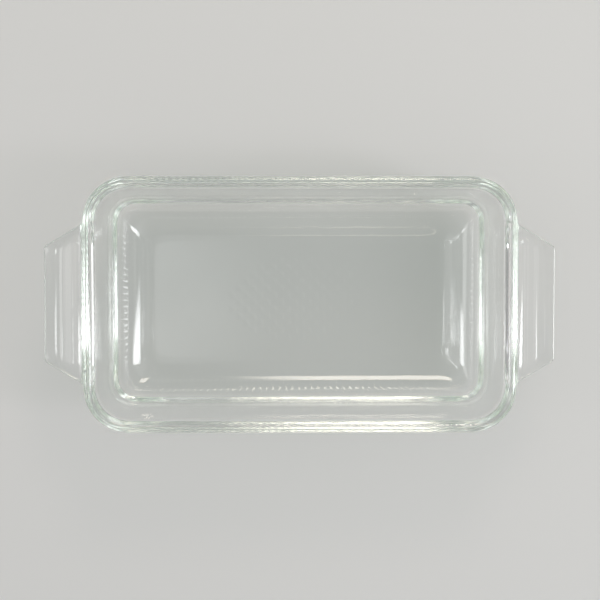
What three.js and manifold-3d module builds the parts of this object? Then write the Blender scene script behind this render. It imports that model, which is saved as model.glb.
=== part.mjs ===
// Glass loaf dish with two tab handles.
//
// The real dish is one gob of clear glass, pressed in a mould, so it is one solid: the floor, the four
// walls, the thicker collar round the top and the two handles have no seams or joints between them.
// Millimetres. The origin is at the middle of the plane that the dish stands on, +X runs through the
// handles and +Z is up.

import * as THREE from "three";
import { mergeVertices } from "three/addons/utils/BufferGeometryUtils.js";
import Module from "manifold-3d";

const wasm = await Module();
wasm.setup();

// Bowl
const RIM_LENGTH = 227; // outside of the rim, without the handles
const RIM_WIDTH = 134;
const RIM_CORNER_RADIUS = 23.5; // outside corners of the rim, in plan
const FLOOR_CORNER_RADIUS = 8; // corners of the flat floor, in plan
const DISH_HEIGHT = 70;
const RIM_THICKNESS = 5;
const RIM_ROUNDING = 2.4; // outer and inner top edges of the rim
const WALL_DRAFT = THREE.MathUtils.degToRad(8); // lean of the walls, which frees the dish from its mould
const FLOOR_THICKNESS = 6; // above the standing plane
const FLOOR_FILLET = 20; // hollow between the floor and the walls
const BASE_ROUNDING = 14; // outside edge between the walls and the base

// Collar, the thicker band that stiffens the top of the walls, down to the underside of the handles
const COLLAR_STEP = 1.2; // how far it stands out from the wall under it
const COLLAR_LEDGE = 1.6; // height of its sloping underside
const COLLAR_BLEND = 1.8;

// Base: a flat ring to stand on, round a panel that is pushed up clear of the table
const STANDING_RING_WIDTH = 5;
const PANEL_RISE = 0.6;
const PANEL_SLOPE_WIDTH = 8;
const PANEL_BLEND = 40;

// Handles
const HANDLE_REACH = 21; // out from the rim
const HANDLE_ROOT_WIDTH = 85;
const HANDLE_TIP_WIDTH = 59;
const HANDLE_TIP_RADIUS = 5; // outer corners, in plan
const HANDLE_ROOT_RADIUS = 7; // hollow where its sides run into the rim, in plan
const HANDLE_DROP = 6.5; // its flat top lies this far under the top of the rim
const HANDLE_THICKNESS = 7.5;
const HANDLE_EDGE_WIDTH = 8.5; // its top edge rolls over this far in plan
const HANDLE_EDGE_FLAT = 0.5; // upright strip between the rolled top edge and the rounded bottom edge
const HANDLE_UNDER_ROUNDING = 2.5; // bottom edge
const HANDLE_ROOT_FILLET = 4; // hollow between its flat top and the rim
const HANDLE_TUCK = 0.4; // how far under the rim's face its roundings run out

// Size of the facets
const CORNER_STEPS = 10; // each rounded corner in plan
const BLEND_TURN = THREE.MathUtils.degToRad(15); // largest turn from facet to facet round a rounding
const HANDLE_ROWS = 12; // across the handle's reach
const HANDLE_SLICE = 5; // longest slice along its slanting sides

const CLEAR_GLASS = new THREE.MeshStandardMaterial({
  color: 0xe3ece8,
  roughness: 0.04,
  metalness: 0,
  transparent: true,
  opacity: 0.35,
});

const handleTop = DISH_HEIGHT - HANDLE_DROP;
const handleUnderside = handleTop - HANDLE_THICKNESS;
const collarFoot = handleUnderside;

// How far the inside of the wall, and the outside under the collar, lie in from the outside of the rim.
const innerInset = (z) => RIM_THICKNESS + (DISH_HEIGHT - z) * Math.tan(WALL_DRAFT);
const outerInset = (z) => COLLAR_STEP + (collarFoot - z) * Math.tan(WALL_DRAFT);

// Half the turn between a level floor and a leaning wall sets how far a rounding reaches along each.
const floorToWall = Math.tan((Math.PI / 2 - WALL_DRAFT) / 2);
const floorInset = innerInset(FLOOR_THICKNESS) + FLOOR_FILLET * floorToWall;
const ringInset = outerInset(0) + BASE_ROUNDING * floorToWall;
const ringEndInset = ringInset + STANDING_RING_WIDTH;
const panelInset = ringEndInset + PANEL_SLOPE_WIDTH;

// The hollow at the root of a handle ends where the rounding of the rim begins.
const rootFillet = Math.min(HANDLE_ROOT_FILLET, HANDLE_DROP - RIM_ROUNDING);

// A line through corners [x, y, radius], each rounded with an arc that fits the straights beside it. The
// two end points have no radius.
function roundedLine(corners) {
  const points = corners.map(([x, y]) => new THREE.Vector2(x, y));
  const toward = (i, j) => points[j].clone().sub(points[i]).normalize();
  const halfAngle = (i) => Math.acos(toward(i, i - 1).dot(toward(i, i + 1))) / 2;
  const tangent = (i) => (corners[i][2] ? corners[i][2] / Math.tan(halfAngle(i)) : 0);
  const room = (i, j) => Math.min(1, points[i].distanceTo(points[j]) / (tangent(i) + tangent(j)));
  return corners.flatMap(([, , wantedRadius], i) => {
    if (wantedRadius === undefined) {
      return [points[i]];
    }
    const back = toward(i, i - 1);
    const onward = toward(i, i + 1);
    const fit = Math.min(room(i - 1, i), room(i, i + 1));
    const radius = wantedRadius * fit;
    const inward = back.clone().add(onward).normalize();
    const centre = inward.multiplyScalar(radius / Math.sin(halfAngle(i))).add(points[i]);
    const start = back.clone().multiplyScalar(tangent(i) * fit).add(points[i]).sub(centre);
    const end = onward.clone().multiplyScalar(tangent(i) * fit).add(points[i]).sub(centre);
    const clockwise = back.cross(onward) > 0;
    const arc = new THREE.EllipseCurve(
      centre.x, centre.y, radius, radius, start.angle(), end.angle(), clockwise,
    );
    return arc.getPoints(Math.ceil((Math.PI - 2 * halfAngle(i)) / BLEND_TURN));
  });
}

// The same line with no stretch longer than a limit.
function divided(points, longest) {
  return points.flatMap((p, i) => {
    const from = points[Math.max(i - 1, 0)];
    const parts = Math.max(1, Math.ceil(p.distanceTo(from) / longest));
    return Array.from({ length: parts }, (_, k) => from.clone().lerp(p, (k + 1) / parts));
  });
}

// The dish's outline in plan at one height, as a ring of points: a rectangle with rounded corners, whose
// radius shrinks by the same ratio for each millimetre inwards.
function planRing(inset, z) {
  const ratio = FLOOR_CORNER_RADIUS / RIM_CORNER_RADIUS;
  const radius = RIM_CORNER_RADIUS * ratio ** (inset / floorInset);
  const x = RIM_LENGTH / 2 - inset - radius;
  const y = RIM_WIDTH / 2 - inset - radius;
  const outline = new THREE.Path();
  outline.absarc(x, y, radius, 0, Math.PI / 2);
  outline.absarc(-x, y, radius, Math.PI / 2, Math.PI);
  outline.absarc(-x, -y, radius, Math.PI, Math.PI * 1.5);
  outline.absarc(x, -y, radius, Math.PI * 1.5, Math.PI * 2);
  const stepsInHalfCorner = CORNER_STEPS / 2; // a path makes two steps on an arc for each of its divisions
  return outline.getPoints(stepsInHalfCorner).map((p) => new THREE.Vector3(p.x, p.y, z));
}

// A closed skin over a row of rings with equally many points. The first ring and the last are closed
// with a fan of triangles round their middle.
function loft(rings) {
  const count = rings[0].length;
  const points = rings.flat();
  const triangles = [];
  for (let i = 0; i < rings.length - 1; i++) {
    for (let j = 0; j < count; j++) {
      const next = (j + 1) % count;
      const a = i * count + j;
      const b = i * count + next;
      triangles.push(a, b, b + count, a, b + count, a + count);
    }
  }
  const middle = (ring) => ring.reduce((sum, p) => sum.add(p), new THREE.Vector3()).divideScalar(count);
  const firstMiddle = points.push(middle(rings[0])) - 1;
  const lastMiddle = points.push(middle(rings.at(-1))) - 1;
  const lastStart = (rings.length - 1) * count;
  for (let j = 0; j < count; j++) {
    const next = (j + 1) % count;
    triangles.push(firstMiddle, next, j);
    triangles.push(lastMiddle, lastStart + j, lastStart + next);
  }
  return new THREE.BufferGeometry().setFromPoints(points).setIndex(triangles);
}

// The bowl: one profile, from the middle of the base up the outside, over the rim and down to the middle
// of the floor, swept round the plan outline.
function bowlGeometry() {
  const profile = roundedLine([
    [panelInset + PANEL_SLOPE_WIDTH, PANEL_RISE],
    [panelInset, PANEL_RISE, PANEL_BLEND],
    [ringEndInset, 0, PANEL_BLEND],
    [outerInset(0), 0, BASE_ROUNDING],
    [outerInset(collarFoot), collarFoot, COLLAR_BLEND],
    [0, collarFoot + COLLAR_LEDGE, COLLAR_BLEND],
    [0, DISH_HEIGHT, RIM_ROUNDING],
    [RIM_THICKNESS, DISH_HEIGHT, RIM_ROUNDING],
    [innerInset(FLOOR_THICKNESS), FLOOR_THICKNESS, FLOOR_FILLET],
    [panelInset + PANEL_SLOPE_WIDTH, FLOOR_THICKNESS],
  ]);
  return loft(profile.map((p) => planRing(p.x, p.y)));
}

// Height of a hollow quarter of an ellipse, of a given width and height, at a distance from its tall side.
function quarterRound(distance, width, height) {
  const along = THREE.MathUtils.clamp(1 - distance / width, 0, 1);
  return height * (1 - Math.sqrt(1 - along * along));
}

// One slice of a handle, at y along the rim, that reaches out from it by reach: over the top from inside
// the wall to the free edge, and back along the underside. Its rows lie closer together near the roundings.
function handleSlice(y, reach) {
  const edgeFall = HANDLE_THICKNESS - HANDLE_UNDER_ROUNDING - HANDLE_EDGE_FLAT;
  const top = [];
  const bottom = [];
  for (let row = 0; row <= HANDLE_ROWS; row++) {
    const share = (1 - Math.cos((Math.PI * row) / HANDLE_ROWS)) / 2;
    const out = THREE.MathUtils.lerp(-HANDLE_TUCK, reach, share);
    const toEdge = reach - out;
    const fillet = quarterRound(out, rootFillet, rootFillet);
    const fall = quarterRound(toEdge, HANDLE_EDGE_WIDTH, edgeFall);
    const lift = quarterRound(toEdge, HANDLE_UNDER_ROUNDING, HANDLE_UNDER_ROUNDING);
    const x = RIM_LENGTH / 2 + out;
    top.push(new THREE.Vector3(x, y, handleTop + fillet - fall));
    bottom.push(new THREE.Vector3(x, y, handleUnderside + lift));
  }
  const insideWall = (RIM_LENGTH - RIM_THICKNESS) / 2;
  top.unshift(new THREE.Vector3(insideWall, y, top[0].z));
  bottom.unshift(new THREE.Vector3(insideWall, y, bottom[0].z));
  return [...top, ...bottom.reverse()];
}

// A handle on the +X end: slices along its outline in plan, which is a tab with slanting sides.
function handleGeometry() {
  const rootEnd = -HANDLE_ROOT_WIDTH / 2;
  const tipEnd = -HANDLE_TIP_WIDTH / 2;
  const half = roundedLine([
    [rootEnd - HANDLE_ROOT_RADIUS, 0],
    [rootEnd, 0, HANDLE_ROOT_RADIUS],
    [tipEnd, HANDLE_REACH, HANDLE_TIP_RADIUS],
    [0, HANDLE_REACH],
  ]);
  const betweenEnds = half.slice(1, -1);
  const side = divided(betweenEnds, HANDLE_SLICE);
  const mirrored = side.map((p) => new THREE.Vector2(-p.x, p.y)).reverse();
  const slices = [...side, ...mirrored].map((p) => handleSlice(p.x, p.y));
  return loft(slices);
}

function solid(geometry) {
  const merged = mergeVertices(geometry);
  return new wasm.Manifold(
    new wasm.Mesh({
      numProp: 3,
      vertProperties: merged.attributes.position.array,
      triVerts: new Uint32Array(merged.index.array),
    }),
  );
}

function geometryOf(manifold) {
  const mesh = manifold.getMesh();
  return new THREE.BufferGeometry()
    .setAttribute("position", new THREE.BufferAttribute(mesh.vertProperties, 3))
    .setIndex(new THREE.BufferAttribute(mesh.triVerts, 1));
}

const bowl = solid(bowlGeometry());
const rightHandle = handleGeometry();
const leftHandle = rightHandle.clone().rotateZ(Math.PI);
const pressing = bowl.add(solid(rightHandle)).add(solid(leftHandle));

const loafDish = new THREE.Mesh(geometryOf(pressing), CLEAR_GLASS);
loafDish.name = "loaf_dish";

const part = new THREE.Group();
part.add(loafDish);

export default part;
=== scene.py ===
import math

import bmesh
import bpy
from mathutils import Matrix, Vector


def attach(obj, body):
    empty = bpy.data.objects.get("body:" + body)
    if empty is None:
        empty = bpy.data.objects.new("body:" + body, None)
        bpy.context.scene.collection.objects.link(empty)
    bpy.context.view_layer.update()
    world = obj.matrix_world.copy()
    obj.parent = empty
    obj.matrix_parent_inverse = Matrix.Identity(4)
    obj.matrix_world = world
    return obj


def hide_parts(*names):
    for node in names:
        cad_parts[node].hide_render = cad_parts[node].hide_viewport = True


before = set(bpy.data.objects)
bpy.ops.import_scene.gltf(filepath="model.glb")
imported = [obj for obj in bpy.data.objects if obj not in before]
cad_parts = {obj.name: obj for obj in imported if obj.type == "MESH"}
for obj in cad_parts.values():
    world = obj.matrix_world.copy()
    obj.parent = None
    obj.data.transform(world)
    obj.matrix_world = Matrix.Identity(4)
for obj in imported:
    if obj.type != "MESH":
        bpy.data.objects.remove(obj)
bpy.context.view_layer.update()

MM = 0.001

# How near counts as the same place, and as close by, in millimetres or as a share
SAME = 0.01
CLOSE = 0.1

# Sizes of the dish in millimetres, as its solid has them
RIM_LENGTH = 227.0
RIM_WIDTH = 134.0
RIM_CORNER = 23.5
DISH_HEIGHT = 70.0
RIM_THICKNESS = 5.0
RIM_ROUNDING = 2.45
WALL_DRAFT = math.radians(8)
FLOOR_THICKNESS = 6.0
FLOOR_FILLET = 20.0
BASE_ROUNDING = 14.0
COLLAR_STEP = 1.2
COLLAR_LEDGE = 1.6
COLLAR_BLEND = 1.8
STANDING_RING_WIDTH = 5.0
PANEL_RISE = 0.6
PANEL_SLOPE_WIDTH = 8.0
HANDLE_TOP = 63.5
HANDLE_UNDERSIDE = 56.0
HANDLE_REACH = 21.0
COLLAR_LOW = HANDLE_UNDERSIDE + COLLAR_LEDGE

# Steps of the cage that is smoothed into the glass
CORNER_STEPS = 6
LONG_SIDE_STEPS = 24
SHORT_SIDE_STEPS = 12
ARC_TURN = math.radians(15)
WALL_STEP = 9.0
FLOOR_RUN = 28.0
SMOOTHING_LEVELS = 2
PANEL_STEPS = 8
SHARP_EDGE = math.radians(35)

# Fine ribs round the lower edge, where the base rounding comes near the table
RIBS_START_TURN = math.radians(42)
RIBS_END_TURN = math.radians(25)
RIB_MARGIN = 0.42
RIB_DEPTH = 0.17
CLEAR_OF_RIBS = 0.5

# Small studs in the middle of the base
STUD_FIELD = (78.0, 46.8)
STUD_CELLS = (20, 12)
STUD_MARGIN = 1.05
STUD_SLOPE = 0.5
STUD_HEIGHT = 0.28

# Flat plate on top of each handle, stepped up, with a border that falls away from it
PLATE_BORDER = 5.6
PLATE_START = 4.2
PLATE_MIDDLE = 8.3
PLATE_REACH = 12.4
PLATE_EDGE_CREASE = 0.7
PLATE_STEP_WIDTH = 1.7
PLATE_STEP_HEIGHT = 0.8
BORDER_FALL = 4.6
BORDER_REACH = PLATE_REACH + 4.2
HANDLE_SIDE_TAPER = 0.62
HANDLE_HOLLOW_TOP = 65.2

# Loops of a handle from the collar to its rolled edge: reach, underside, top, share of the border's fall
HANDLE_LOOPS = (
    (0.0, COLLAR_LOW, HANDLE_HOLLOW_TOP, 0.0),
    (1.6, HANDLE_UNDERSIDE + 0.4, HANDLE_TOP + 0.6, 0.45),
    (PLATE_START, HANDLE_UNDERSIDE, HANDLE_TOP, 0.85),
    (PLATE_MIDDLE, HANDLE_UNDERSIDE, HANDLE_TOP, 1.0),
    (PLATE_REACH, HANDLE_UNDERSIDE, HANDLE_TOP, 1.0),
    (BORDER_REACH, HANDLE_UNDERSIDE, HANDLE_TOP - 2.7, 0.45),
    (HANDLE_REACH - 1.0, HANDLE_UNDERSIDE + 0.5, HANDLE_TOP - 4.8, 0.0),
    (HANDLE_REACH + 0.2, HANDLE_UNDERSIDE + 1.0, HANDLE_TOP - 5.4, 0.0),
)

# Glass: what it does to light, and the heights in metres between which the wear of its floor ends
GLASS_IOR = 1.5
LIGHT_THROUGH_GLASS = (0.86, 0.875, 0.867, 1)
TINT_COLOUR = (0.6, 0.9, 0.62, 1)
TINT_DENSITY = 0.9
WEAR_FULL_BELOW = 0.0065
WEAR_NONE_ABOVE = 0.012

# Depths of the marks on the glass, in metres, pits to a metre, and the share of them that is left out
WAVE_DEPTH = 0.000012
CHILL_DEPTH = 0.000003
PIT_DEPTH = 0.00006
PIT_SCALE = 150
PITS_LEFT_OUT = 0.88

# Plain floor of the studio
STUDIO_FLOOR_SIZE = 8
STUDIO_FLOOR_COLOUR = (0.72, 0.72, 0.71, 1)
STUDIO_FLOOR_ROUGHNESS = 0.7

# Lamps: how far off they stand, the share of their width over which each edge fades, and their colours
LAMP_DISTANCE = 1.6
LAMP_EDGE = 0.3
DAYLIGHT = (0.97, 0.99, 1.0)
WARM_LIGHT = (1.0, 0.92, 0.8)
WHITE_LIGHT = (1.0, 1.0, 1.0)

# Sines of the heights in the sky between which its light grows
SKY_LOW = 0.1
SKY_HIGH = 0.7

# Soft glow on the ceiling, seen in the left part of the floor of the dish
GLOW_DIRECTION = (-0.174, -0.046, 0.984)
GLOW_INNER = math.radians(5)
GLOW_OUTER = math.radians(11)

# Camera almost straight above the dish
CAMERA_LENS = 92.4
CAMERA_PLACE = (-0.016, 0.040, 0.87)
CAMERA_TARGET = (-0.0003, 0.0026, 0.07)

# Times that light may pass from one wall of glass to the next
GLASS_BOUNCES = 64
SEE_THROUGH_BOUNCES = 24


def inner_inset(z):
    """How far the inner wall lies in from the rim's outline at a height."""
    return RIM_THICKNESS + (DISH_HEIGHT - z) * math.tan(WALL_DRAFT)


def outer_inset(z):
    """How far the outer wall under the collar lies in from the rim's outline at a height."""
    return COLLAR_STEP + (HANDLE_UNDERSIDE - z) * math.tan(WALL_DRAFT)


def base_arc(turn):
    """A point (inset, height) of the base rounding, where it has still to turn this far to be level."""
    ring_inset = outer_inset(0) + BASE_ROUNDING * math.tan((math.pi / 2 - WALL_DRAFT) / 2)
    return Vector((ring_inset - BASE_ROUNDING * math.sin(turn), BASE_ROUNDING * (1 - math.cos(turn))))


def rounded_line(corners):
    """Points along a line through (x, y, radius) corners, each rounded with an arc."""
    line = []
    for i, (x, y, radius) in enumerate(corners):
        corner = Vector((x, y))
        if radius is None:
            line.append(corner)
            continue
        back = (Vector(corners[i - 1][:2]) - corner).normalized()
        onward = (Vector(corners[i + 1][:2]) - corner).normalized()
        half_angle = back.angle(onward) / 2
        centre = corner + (back + onward).normalized() * radius / math.sin(half_angle)
        tangent = radius / math.tan(half_angle)
        start = corner + back * tangent - centre
        turn = start.angle_signed(corner + onward * tangent - centre)
        steps = math.ceil(abs(turn) / ARC_TURN)
        for step in range(steps + 1):
            angle = -turn * step / steps
            cos, sin = math.cos(angle), math.sin(angle)
            line.append(centre + Vector((start.x * cos - start.y * sin, start.x * sin + start.y * cos)))
    return line


def divided(line, longest):
    """The same line with no stretch longer than a limit."""
    points = [line[0]]
    for before, after in zip(line, line[1:]):
        parts = math.ceil((after - before).length / longest)
        points += [before.lerp(after, (k + 1) / parts) for k in range(parts)]
    return points


def pick(kind, test):
    """Select the vertices, edges or faces of the edited mesh that pass a test, and nothing else."""
    modes = {"verts": "VERT", "edges": "EDGE", "faces": "FACE"}
    bpy.ops.mesh.select_mode(type=modes[kind])
    bpy.ops.mesh.select_all(action="DESELECT")
    data = bpy.context.edit_object.data
    mesh = bmesh.from_edit_mesh(data)
    for item in getattr(mesh, kind):
        if test(item):
            item.select_set(True)
    bmesh.update_edit_mesh(data)


def rim_outline(name, z):
    """A flat face with the outline of the rim, cut into even steps, in edit mode."""
    bpy.ops.object.select_all(action="DESELECT")
    bpy.ops.mesh.primitive_plane_add(size=1, location=(0, 0, z * MM))
    dish = bpy.context.object
    dish.name = dish.data.name = name
    bpy.ops.transform.resize(value=(RIM_LENGTH * MM, RIM_WIDTH * MM, 1))
    bpy.ops.object.transform_apply(location=True, rotation=True, scale=True)
    bpy.ops.object.mode_set(mode="EDIT")
    bpy.ops.mesh.select_all(action="SELECT")
    bpy.ops.mesh.bevel(offset=RIM_CORNER * MM, segments=CORNER_STEPS, affect="VERTICES")
    bpy.ops.mesh.delete(type="ONLY_FACE")
    shortest_straight = RIM_CORNER * MM
    for axis, steps in ((0, LONG_SIDE_STEPS), (1, SHORT_SIDE_STEPS)):
        pick("edges", lambda e: abs(e.verts[0].co[axis] - e.verts[1].co[axis]) > shortest_straight)
        bpy.ops.mesh.subdivide(number_cuts=steps - 1)

    # The first step of each short side becomes as wide as the border of a handle's plate
    half_side = RIM_WIDTH / 2 - RIM_CORNER
    side_step = 2 * half_side / SHORT_SIDE_STEPS
    pick("verts", lambda v: abs(v.co.y) < (half_side - CLOSE) * MM)
    bpy.ops.transform.resize(value=(1, (half_side - PLATE_BORDER) / (half_side - side_step), 1))
    bpy.ops.mesh.select_all(action="SELECT")
    bpy.ops.mesh.edge_face_add()
    return dish


def scale_to_inset(before, after):
    """Scale what is picked from one inset of the rim's outline to another."""
    x_factor = (RIM_LENGTH / 2 - after) / (RIM_LENGTH / 2 - before)
    y_factor = (RIM_WIDTH / 2 - after) / (RIM_WIDTH / 2 - before)
    bpy.ops.transform.resize(value=(x_factor, y_factor, 1))


def draw_cap(profile, scaled_from):
    """Extrude the picked cap along a profile of (inset, height) rings. Past an inset it is only scaled."""
    for (inset, z), (next_inset, next_z) in zip(profile, profile[1:]):
        rise = (next_z - z) * MM
        run = (next_inset - inset) * MM
        if run == 0 or inset >= scaled_from - SAME:
            bpy.ops.mesh.extrude_region_move(TRANSFORM_OT_translate={"value": (0, 0, rise)})
            scale_to_inset(inset, next_inset)
        else:
            bpy.ops.mesh.inset(thickness=run, depth=0, use_even_offset=True)
            bpy.ops.transform.translate(value=(0, 0, rise))


def draw_hole(profile):
    """Extrude the picked edge of an open hole inwards along a profile of (inset, height) rings."""
    for (inset, z), (next_inset, next_z) in zip(profile, profile[1:]):
        bpy.ops.mesh.extrude_edges_move(TRANSFORM_OT_translate={"value": (0, 0, (next_z - z) * MM)})
        scale_to_inset(inset, next_inset)


def pull_handle(side):
    """Draw a tab out of the collar at one end: wide at its root, thin at its rolled edge."""
    rim_end = RIM_LENGTH / 2
    root = RIM_WIDTH / 2 - RIM_CORNER
    plate_share = 1 - PLATE_BORDER / root
    half_height = (HANDLE_TOP + HANDLE_UNDERSIDE) / 2

    def half_width(reach):
        return root - HANDLE_SIDE_TAPER * reach

    def place(v):
        """Reach out from the rim, distance from the middle as a share of the handle's, and height."""
        reach = side * v.co.x / MM - rim_end
        return reach, abs(v.co.y) / MM / half_width(reach), v.co.z / MM

    def on_collar(v):
        reach, _, z = place(v)
        return abs(reach) < SAME and COLLAR_LOW - CLOSE < z < HANDLE_HOLLOW_TOP + CLOSE

    def on_plate(v):
        reach, share, z = place(v)
        along = PLATE_START - CLOSE < reach < PLATE_REACH + CLOSE
        return along and share < plate_share + SAME and z > HANDLE_TOP - CLOSE

    def on_plate_edge(v):
        reach, share, _ = place(v)
        return on_plate(v) and (share > plate_share - SAME or reach > PLATE_REACH - CLOSE)

    def on_side_edge(v, loop_reach):
        reach, share, z = place(v)
        return abs(reach - loop_reach) < CLOSE and share > 1 - SAME and z > half_height

    pick("faces", lambda f: all(on_collar(v) for v in f.verts))
    for (reach, low, top, _), (next_reach, next_low, next_top, _) in zip(HANDLE_LOOPS, HANDLE_LOOPS[1:]):
        out = side * (next_reach - reach) * MM
        lift = (next_low + next_top - low - top) / 2 * MM
        bpy.ops.mesh.extrude_region_move(TRANSFORM_OT_translate={"value": (out, 0, lift)})
        width_factor = half_width(next_reach) / half_width(reach)
        height_factor = (next_top - next_low) / (top - low)
        bpy.ops.transform.resize(value=(1, width_factor, height_factor))

    pick("edges", lambda e: all(on_plate_edge(v) for v in e.verts))
    bpy.ops.transform.edge_crease(value=PLATE_EDGE_CREASE)
    pick("faces", lambda f: all(on_plate(v) for v in f.verts))
    bpy.ops.mesh.inset(thickness=PLATE_STEP_WIDTH * MM, depth=0)
    bpy.ops.transform.translate(value=(0, 0, PLATE_STEP_HEIGHT * MM))
    bpy.ops.mesh.region_to_loop()
    bpy.ops.transform.edge_crease(value=PLATE_EDGE_CREASE)

    for reach, _, _, fall in HANDLE_LOOPS:
        if fall:
            pick("verts", lambda v: on_side_edge(v, reach))
            bpy.ops.transform.translate(value=(0, 0, -BORDER_FALL * fall * MM))


def bearing(face):
    """Direction of a face from the middle of the dish, as a turn from +X."""
    middle = face.calc_center_median()
    return math.atan2(middle.y, middle.x) % math.tau


def press_ribs(low, high):
    """Sink every other face of a ring of long faces, so that fine ribs are left between the dents."""
    def in_ring(f):
        heights = [v.co.z / MM for v in f.verts]
        return len(heights) == 4 and abs(min(heights) - low) < SAME and abs(max(heights) - high) < SAME

    pick("faces", in_ring)
    mesh = bmesh.from_edit_mesh(bpy.context.edit_object.data)
    mesh.faces.active = min((f for f in mesh.faces if f.select), key=bearing)
    bpy.ops.mesh.select_nth(skip=1, nth=1)
    bpy.ops.mesh.inset(thickness=RIB_MARGIN * MM, depth=-RIB_DEPTH * MM, use_individual=True)


def stud_panel():
    """Close the base with a flat panel and raise small studs on it, in an oval of every other cell."""
    length, width = STUD_FIELD
    cell = length / STUD_CELLS[0]
    bpy.ops.mesh.primitive_grid_add(x_subdivisions=STUD_CELLS[0], y_subdivisions=STUD_CELLS[1], size=1,
                                    location=(0, 0, PANEL_RISE * MM))
    bpy.ops.transform.resize(value=(length * MM, width * MM, 1))
    pick("edges", lambda e: e.is_boundary)
    bpy.ops.mesh.fill()
    bpy.ops.mesh.select_all(action="SELECT")
    bpy.ops.mesh.normals_make_consistent(inside=False)

    def in_stud(f):
        middle = f.calc_center_median() / MM
        is_cell = len(f.verts) == 4 and abs(f.calc_area() / MM**2 - cell**2) < CLOSE
        on_panel = abs(middle.z - PANEL_RISE) < SAME
        in_oval = math.hypot(2 * middle.x / length, 2 * middle.y / width) < 1
        every_other = (math.floor(middle.x / cell) + math.floor(middle.y / cell)) % 2 == 0
        return is_cell and on_panel and in_oval and every_other

    pick("faces", in_stud)
    bpy.ops.mesh.inset(thickness=STUD_MARGIN * MM, depth=0, use_individual=True)
    bpy.ops.mesh.inset(thickness=STUD_SLOPE * MM, depth=STUD_HEIGHT * MM, use_individual=True)


def press_dish():
    """The dish: an outline drawn over the rim to the floor, down outside to the base, and into handles."""
    dish = rim_outline("pressed_dish", COLLAR_LOW)

    floor_corner = inner_inset(FLOOR_THICKNESS)
    over_rim = rounded_line([
        (0, COLLAR_LOW, None),
        (0, DISH_HEIGHT, RIM_ROUNDING),
        (RIM_THICKNESS, DISH_HEIGHT, RIM_ROUNDING),
        (floor_corner, FLOOR_THICKNESS, FLOOR_FILLET),
        (floor_corner + FLOOR_RUN, FLOOR_THICKNESS, None),
    ])
    over_rim.insert(1, Vector((0, HANDLE_HOLLOW_TOP)))
    draw_cap(divided(over_rim, WALL_STEP), scaled_from=floor_corner)
    bpy.ops.mesh.delete(type="ONLY_FACE")

    ring, ribs_start, ribs_end = base_arc(0), base_arc(RIBS_START_TURN), base_arc(RIBS_END_TURN)
    down_outside = rounded_line([
        (0, COLLAR_LOW, None),
        (outer_inset(HANDLE_UNDERSIDE), HANDLE_UNDERSIDE, COLLAR_BLEND),
        (outer_inset(0), 0, BASE_ROUNDING),
        (*ring, None),
    ])
    down_outside = [p for p in down_outside if p.y > ribs_start.y + CLEAR_OF_RIBS] + [ribs_start]
    pick("faces", lambda f: len(f.verts) > 4)
    draw_cap(divided(down_outside, WALL_STEP), scaled_from=outer_inset(0))
    bpy.ops.mesh.delete(type="ONLY_FACE")

    for side in (1, -1):
        pull_handle(side)

    bpy.ops.object.mode_set(mode="OBJECT")
    bpy.ops.object.modifier_add(type="SUBSURF")
    smoothing = dish.modifiers[-1]
    smoothing.levels = smoothing.render_levels = SMOOTHING_LEVELS
    bpy.ops.object.modifier_apply(modifier=smoothing.name)

    # The flat floor and the base are closed after the smoothing, so that they stay flat
    bpy.ops.object.mode_set(mode="EDIT")
    pick("edges", lambda e: e.is_boundary and abs(e.verts[0].co.z / MM - FLOOR_THICKNESS) < CLOSE)
    bpy.ops.mesh.edge_face_add()
    ring_end = ring.x + STANDING_RING_WIDTH
    under_base = [ribs_start, ribs_end, ring, (ring_end, 0)]
    for step in range(1, PANEL_STEPS + 1):
        share = step / PANEL_STEPS
        smooth_share = share * share * (3 - 2 * share)
        under_base.append((ring_end + PANEL_SLOPE_WIDTH * share, PANEL_RISE * smooth_share))
    pick("edges", lambda e: e.is_boundary)
    draw_hole(under_base)
    stud_panel()
    press_ribs(ribs_end.y, ribs_start.y)
    bpy.ops.object.mode_set(mode="OBJECT")
    bpy.ops.object.shade_smooth_by_angle(angle=SHARP_EDGE)
    return dish


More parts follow.
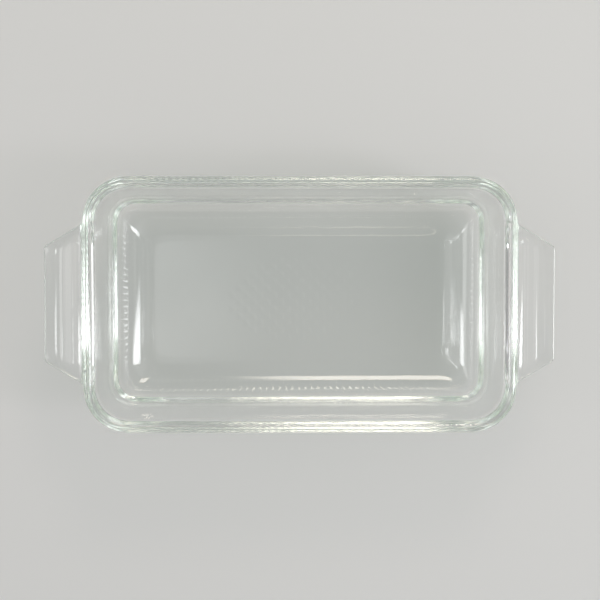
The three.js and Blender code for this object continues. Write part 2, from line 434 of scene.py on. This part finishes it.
def clear_glass():
    """Clear pressed glass, with a slight tint, faint waves and a little wear. Lamps shine through it."""
    material = bpy.data.materials.new("clear_glass")
    material.use_nodes = True
    nodes, links = material.node_tree.nodes, material.node_tree.links
    glass = nodes["Principled BSDF"]
    output = nodes["Material Output"]
    glass.inputs["Base Color"].default_value = (1, 1, 1, 1)
    glass.inputs["IOR"].default_value = GLASS_IOR
    glass.inputs["Transmission Weight"].default_value = 1.0

    place = nodes.new("ShaderNodeTexCoord").outputs["Object"]

    def noise(scale, detail):
        node = nodes.new("ShaderNodeTexNoise")
        node.inputs["Scale"].default_value = scale
        node.inputs["Detail"].default_value = detail
        links.new(place, node.inputs["Vector"])
        return node.outputs["Fac"]

    def remap(value, low, high, to_low, to_high):
        node = nodes.new("ShaderNodeMapRange")
        limits = {"From Min": low, "From Max": high, "To Min": to_low, "To Max": to_high}
        for name, number in limits.items():
            node.inputs[name].default_value = number
        links.new(value, node.inputs["Value"])
        return node.outputs["Result"]

    def combine(operation, first, second):
        node = nodes.new("ShaderNodeMath")
        node.operation = operation
        for socket, value in zip(node.inputs, (first, second)):
            if isinstance(value, float):
                socket.default_value = value
            else:
                links.new(value, socket)
        return node.outputs["Value"]

    def bump(height, distance, under=None):
        node = nodes.new("ShaderNodeBump")
        node.inputs["Distance"].default_value = distance
        links.new(height, node.inputs["Height"])
        if under is not None:
            links.new(under, node.inputs["Normal"])
        return node.outputs["Normal"]

    apart = nodes.new("ShaderNodeSeparateXYZ")
    links.new(place, apart.inputs["Vector"])
    near_floor = remap(apart.outputs["Z"], WEAR_FULL_BELOW, WEAR_NONE_ABOVE, to_low=1.0, to_high=0.0)

    clouds = remap(noise(scale=34, detail=5), low=0.42, high=0.7, to_low=0.015, to_high=0.1)
    links.new(combine("MULTIPLY", clouds, near_floor), glass.inputs["Roughness"])

    cells = nodes.new("ShaderNodeTexVoronoi")
    cells.inputs["Scale"].default_value = PIT_SCALE
    links.new(place, cells.inputs["Vector"])
    chosen = nodes.new("ShaderNodeSeparateColor")
    links.new(cells.outputs["Color"], chosen.inputs["Color"])
    pits = combine("MULTIPLY", remap(cells.outputs["Distance"], low=0.04, high=0.11, to_low=1.0, to_high=0.0),
                   combine("GREATER_THAN", chosen.outputs["Red"], PITS_LEFT_OUT))

    waves = bump(noise(scale=16, detail=1), WAVE_DEPTH)
    chill = bump(combine("MULTIPLY", noise(scale=380, detail=2), near_floor), CHILL_DEPTH, under=waves)
    pitted = bump(combine("MULTIPLY", pits, near_floor), -PIT_DEPTH, under=chill)
    links.new(pitted, glass.inputs["Normal"])

    light_path = nodes.new("ShaderNodeLightPath")
    passing = nodes.new("ShaderNodeBsdfTransparent")
    passing.inputs["Color"].default_value = LIGHT_THROUGH_GLASS
    shader = glass.outputs["BSDF"]
    for ray in ("Is Diffuse Ray", "Is Shadow Ray"):
        mix = nodes.new("ShaderNodeMixShader")
        links.new(light_path.outputs[ray], mix.inputs["Fac"])
        links.new(shader, mix.inputs[1])
        links.new(passing.outputs["BSDF"], mix.inputs[2])
        shader = mix.outputs["Shader"]
    links.new(shader, output.inputs["Surface"])

    tint = nodes.new("ShaderNodeVolumeAbsorption")
    tint.inputs["Color"].default_value = TINT_COLOUR
    tint.inputs["Density"].default_value = TINT_DENSITY
    links.new(tint.outputs["Volume"], output.inputs["Volume"])
    return material


def plain_floor():
    """The pale floor that the dish stands on."""
    bpy.ops.object.select_all(action="DESELECT")
    bpy.ops.mesh.primitive_plane_add(size=STUDIO_FLOOR_SIZE, location=(0, 0, 0))
    floor = bpy.context.object
    floor.name = "floor"
    paint = bpy.data.materials.new("pale_floor")
    paint.use_nodes = True
    shader = paint.node_tree.nodes["Principled BSDF"]
    shader.inputs["Base Color"].default_value = STUDIO_FLOOR_COLOUR
    shader.inputs["Roughness"].default_value = STUDIO_FLOOR_ROUGHNESS
    floor.data.materials.append(paint)


def looking_at(place, target, up):
    """Rotation of something at a place that looks at a target, with its own Y axis towards up."""
    backward = (Vector(place) - Vector(target)).normalized()
    right = Vector(up).cross(backward).normalized()
    return Matrix((right, backward.cross(right), backward)).transposed().to_euler()


def soft_box(name, azimuth, elevation, size, energy, colour):
    """A lamp with faded edges that faces the dish. Its place is given in degrees, from +X and upwards."""
    turn, rise = math.radians(azimuth), math.radians(elevation)
    level = LAMP_DISTANCE * math.cos(rise)
    place = (level * math.cos(turn), level * math.sin(turn), LAMP_DISTANCE * math.sin(rise))
    data = bpy.data.lights.new(name, "AREA")
    data.shape = "RECTANGLE"
    data.size, data.size_y = size
    data.energy = energy
    data.color = colour
    data.use_nodes = True
    nodes, links = data.node_tree.nodes, data.node_tree.links
    across = nodes.new("ShaderNodeSeparateXYZ")
    links.new(nodes.new("ShaderNodeNewGeometry").outputs["Parametric"], across.inputs["Vector"])
    half_way_across = 0.5
    fade = nodes.new("ShaderNodeMath")
    fade.operation = "MULTIPLY"
    for axis, factor in zip("XY", fade.inputs):
        from_edge = nodes.new("ShaderNodeMath")
        from_edge.operation = "PINGPONG"
        from_edge.inputs[1].default_value = half_way_across
        links.new(across.outputs[axis], from_edge.inputs[0])
        soft = nodes.new("ShaderNodeMapRange")
        soft.interpolation_type = "SMOOTHSTEP"
        soft.inputs["From Max"].default_value = LAMP_EDGE
        links.new(from_edge.outputs["Value"], soft.inputs["Value"])
        links.new(soft.outputs["Result"], factor)
    links.new(fade.outputs["Value"], nodes["Emission"].inputs["Strength"])
    lamp = bpy.data.objects.new(name, data)
    lamp.location = place
    lamp.rotation_euler = looking_at(place, (0, 0, 0), (0, 0, 1))
    bpy.context.collection.objects.link(lamp)


def studio_walls(level_light, top_light, glow):
    """Even grey light from all round, brighter from above, with a soft glow near the top."""
    world = bpy.data.worlds.new("studio")
    bpy.context.scene.world = world
    world.use_nodes = True
    nodes, links = world.node_tree.nodes, world.node_tree.links
    direction = nodes.new("ShaderNodeTexCoord").outputs["Generated"]
    apart = nodes.new("ShaderNodeSeparateXYZ")
    links.new(direction, apart.inputs["Vector"])
    rise = nodes.new("ShaderNodeMapRange")
    rise.inputs["From Min"].default_value = SKY_LOW
    rise.inputs["From Max"].default_value = SKY_HIGH
    rise.inputs["To Min"].default_value = level_light
    rise.inputs["To Max"].default_value = top_light
    links.new(apart.outputs["Z"], rise.inputs["Value"])
    towards = nodes.new("ShaderNodeVectorMath")
    towards.operation = "DOT_PRODUCT"
    towards.inputs[1].default_value = GLOW_DIRECTION
    links.new(direction, towards.inputs[0])
    glowing = nodes.new("ShaderNodeMapRange")
    glowing.interpolation_type = "SMOOTHERSTEP"
    glowing.inputs["From Min"].default_value = math.cos(GLOW_OUTER)
    glowing.inputs["From Max"].default_value = math.cos(GLOW_INNER)
    glowing.inputs["To Max"].default_value = glow
    links.new(towards.outputs["Value"], glowing.inputs["Value"])
    total = nodes.new("ShaderNodeMath")
    links.new(rise.outputs["Result"], total.inputs[0])
    links.new(glowing.outputs["Result"], total.inputs[1])
    links.new(total.outputs["Value"], nodes["Background"].inputs["Color"])


def photo_camera():
    """The camera, with the long side of the dish level in its picture."""
    data = bpy.data.cameras.new("camera")
    data.lens = CAMERA_LENS
    camera = bpy.data.objects.new("camera", data)
    bpy.context.collection.objects.link(camera)
    camera.location = CAMERA_PLACE
    camera.rotation_euler = looking_at(CAMERA_PLACE, CAMERA_TARGET, (0, 1, 0))
    bpy.context.scene.camera = camera


dish = press_dish()
dish.data.materials.append(clear_glass())
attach(dish, "root")
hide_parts("loaf_dish")

plain_floor()
photo_camera()
soft_box("window", azimuth=-11.2, elevation=46, size=(0.3, 1.0), energy=17, colour=DAYLIGHT)
soft_box("warm_lamp", azimuth=80, elevation=46, size=(0.6, 0.5), energy=10.5, colour=WARM_LIGHT)
soft_box("pale_wall", azimuth=180, elevation=32, size=(1.3, 0.6), energy=7, colour=WHITE_LIGHT)
soft_box("side_window", azimuth=187, elevation=40, size=(0.14, 0.5), energy=2.5, colour=DAYLIGHT)
studio_walls(level_light=0.18, top_light=0.42, glow=0.9)

scene = bpy.context.scene
scene.view_settings.view_transform = "Standard"
scene.cycles.caustics_refractive = False
scene.cycles.caustics_reflective = False
scene.cycles.max_bounces = GLASS_BOUNCES
scene.cycles.transmission_bounces = GLASS_BOUNCES
scene.cycles.glossy_bounces = GLASS_BOUNCES
scene.cycles.transparent_max_bounces = SEE_THROUGH_BOUNCES
